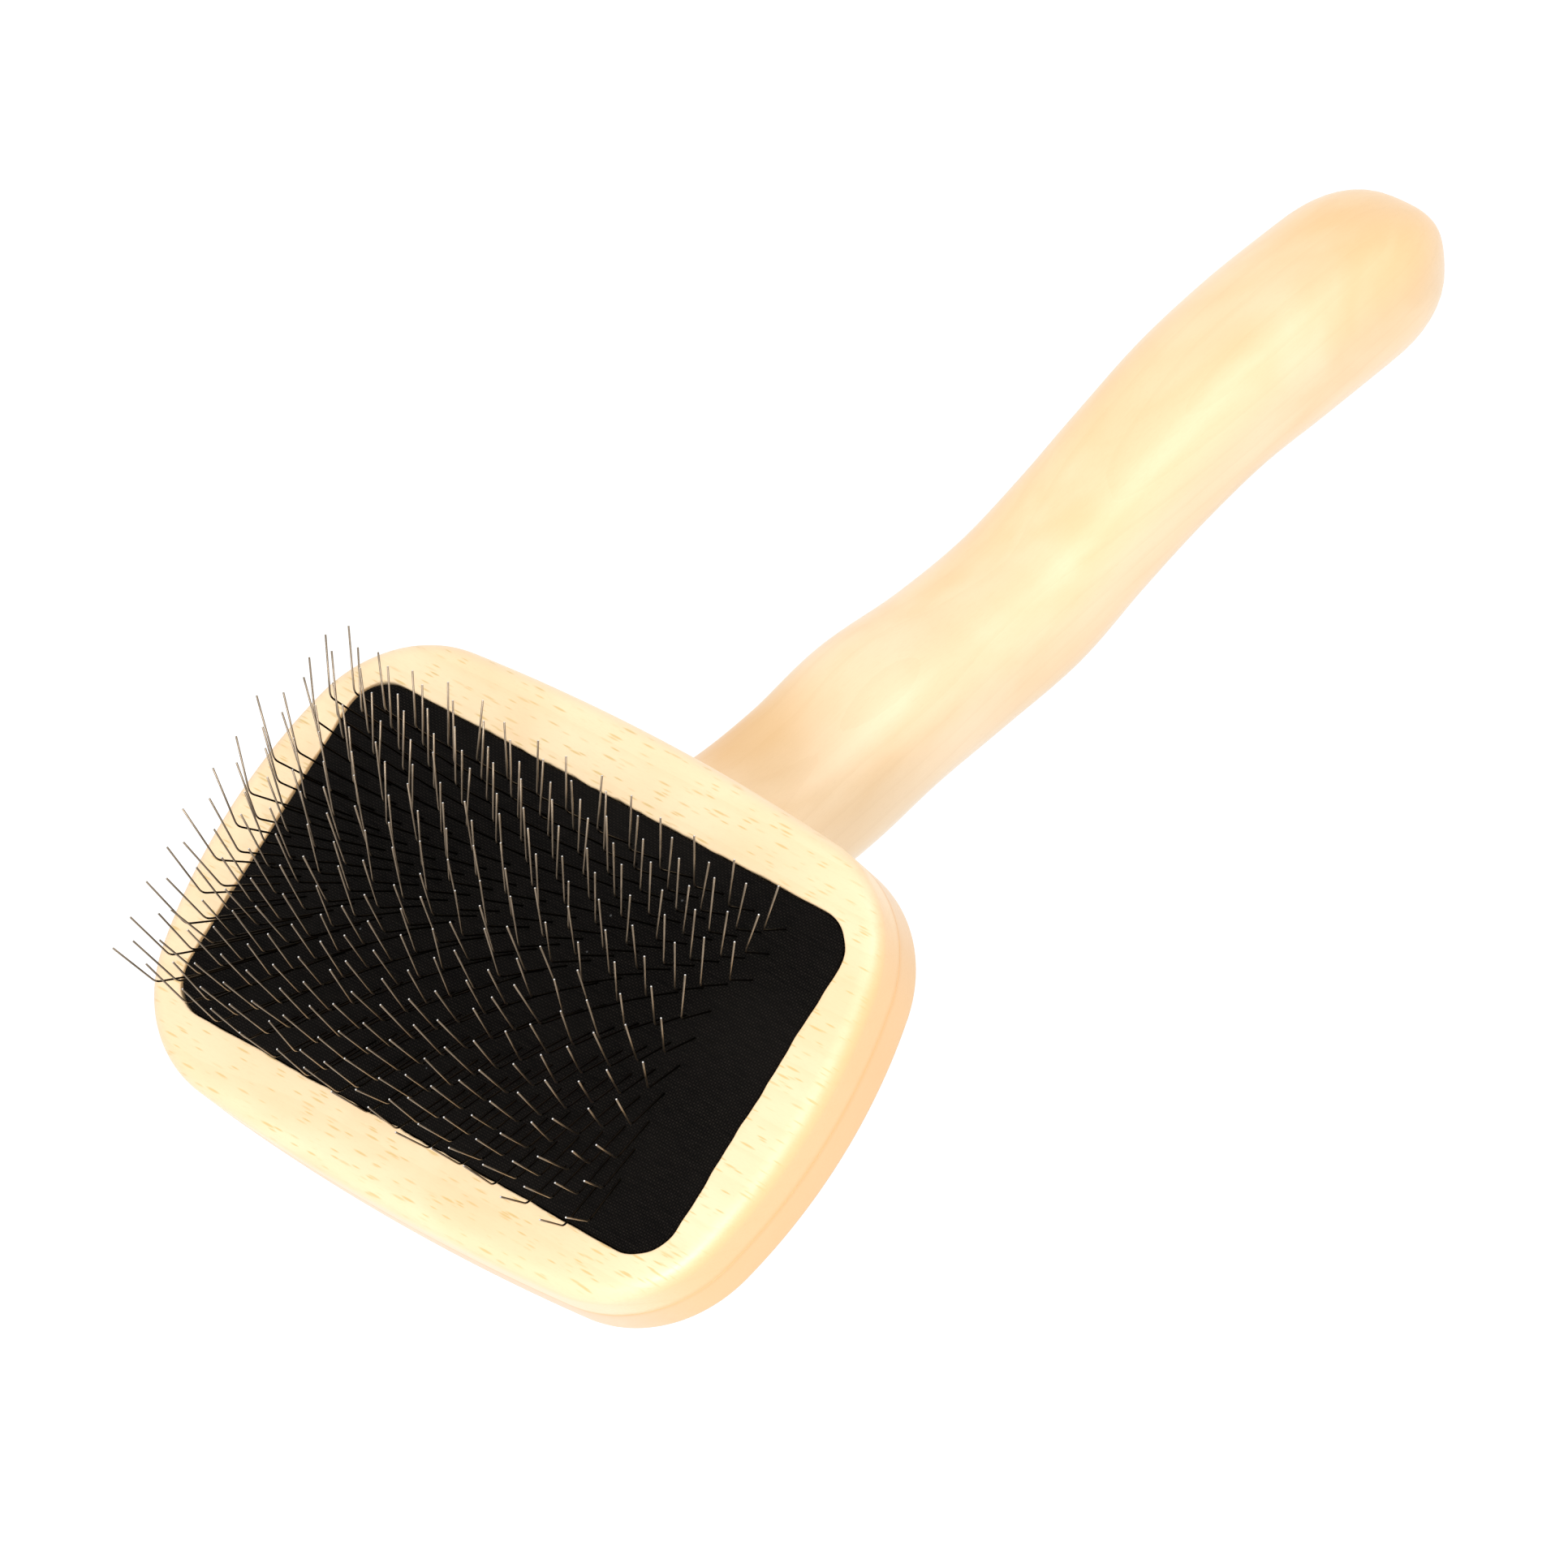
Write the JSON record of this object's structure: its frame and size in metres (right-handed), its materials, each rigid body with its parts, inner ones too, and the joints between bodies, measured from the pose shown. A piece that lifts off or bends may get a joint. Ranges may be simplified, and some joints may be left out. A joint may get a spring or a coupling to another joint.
{
  "type": "slicker brush",
  "caption": "Pet slicker brush: bent wire pins on a sprung domed cloth pad, in a rounded rectangular beech head on a curved beech handle.",
  "frame": {"origin": "centre of the head's flat back face", "axes": "+X along the head's long side, +Y towards the handle's end, +Z out of the pad, the way the pins point"},
  "size_m": [0.0952, 0.1805, 0.1092],
  "materials": {
    "beech_handle": "satin lacquered beech",
    "beech_board": "satin lacquered beech",
    "beech_frame": "satin lacquered beech",
    "plated_screw": "zinc plated",
    "foam": "open-cell foam",
    "rubber_cloth": "matt rubberised cloth",
    "black_cloth": "fine plain weave",
    "pin_wire": "drawn wire with cut ends"
  },
  "bodies": {
    "head": {"handle": "beech_handle", "back_board": "beech_board", "front_frame": "beech_frame", "handle_screws": "plated_screw", "foam_cushion": "foam", "cloth_margin": "rubber_cloth"},
    "pad": {"foundation_cloth": "rubber_cloth", "face_cloth": "black_cloth", "pin_row_1": "pin_wire", "pin_row_2": "pin_wire", "pin_row_3": "pin_wire", "pin_row_4": "pin_wire", "pin_row_5": "pin_wire", "pin_row_6": "pin_wire", "pin_row_7": "pin_wire", "pin_row_8": "pin_wire", "pin_row_9": "pin_wire", "pin_row_10": "pin_wire", "pin_row_11": "pin_wire", "pin_row_12": "pin_wire", "pin_row_13": "pin_wire", "pin_row_14": "pin_wire", "pin_row_15": "pin_wire", "pin_row_16": "pin_wire", "pin_row_17": "pin_wire", "pin_row_18": "pin_wire", "pin_row_19": "pin_wire", "pin_row_20": "pin_wire", "pin_row_21": "pin_wire"}
  },
  "joints": [
    {"name": "pad_press", "type": "slide", "parent": "head", "child": "pad", "axis": [0, 0, -1], "range_m": [0, 0.002], "stiffness_N_per_m": 8000, "deforming": ["foam_cushion"]}
  ]
}
